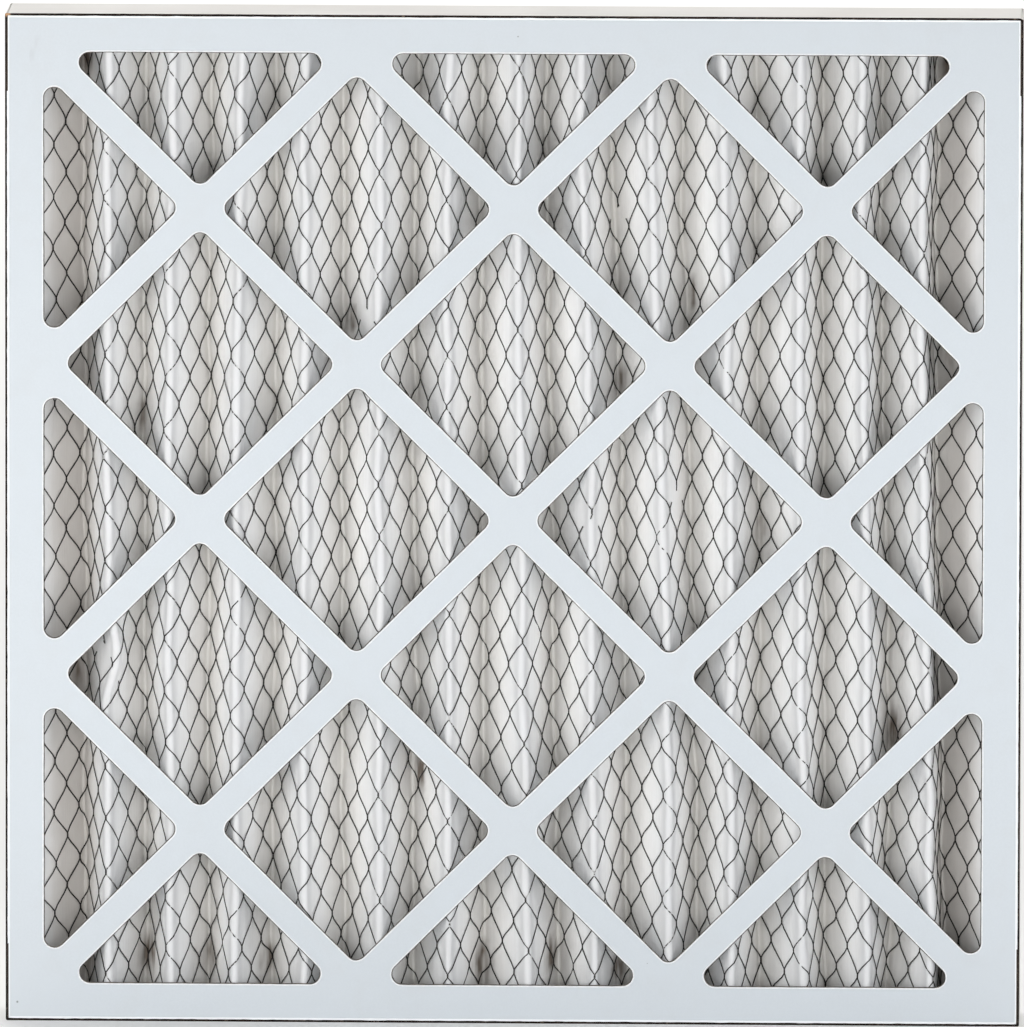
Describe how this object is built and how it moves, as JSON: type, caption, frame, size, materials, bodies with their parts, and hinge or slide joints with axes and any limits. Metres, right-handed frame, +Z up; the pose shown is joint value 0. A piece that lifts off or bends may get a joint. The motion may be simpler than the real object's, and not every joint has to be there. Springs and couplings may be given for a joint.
{
  "type": "pleated panel air filter",
  "caption": "Square disposable panel air filter: pleated white media on a diamond wire support, held between two die-cut paperboard lattice trays.",
  "frame": {"origin": "middle of the bottom edge, half way through the depth", "axes": "+X to the right seen from the air-leaving face, +Z up along the pleats, -Y out of the air-leaving face, the one with the wire support"},
  "size_m": [0.4952, 0.0444, 0.4953],
  "materials": {
    "board_front": "smooth white clay-coated face, matte",
    "board_rear": "white clay-coated face, raw kraft cut edges",
    "media": "white nonwoven, slightly fuzzy",
    "wire": "dark expanded metal, satin",
    "adhesive": "milky hot-melt adhesive"
  },
  "bodies": {
    "root": {"front_lattice_tray": "board_front", "rear_lattice_tray": "board_rear", "pleated_media": "media", "wire_support": "wire", "adhesive_bead_top": "adhesive", "adhesive_bead_bottom": "adhesive", "adhesive_bead_left": "adhesive", "adhesive_bead_right": "adhesive"}
  },
  "joints": []
}
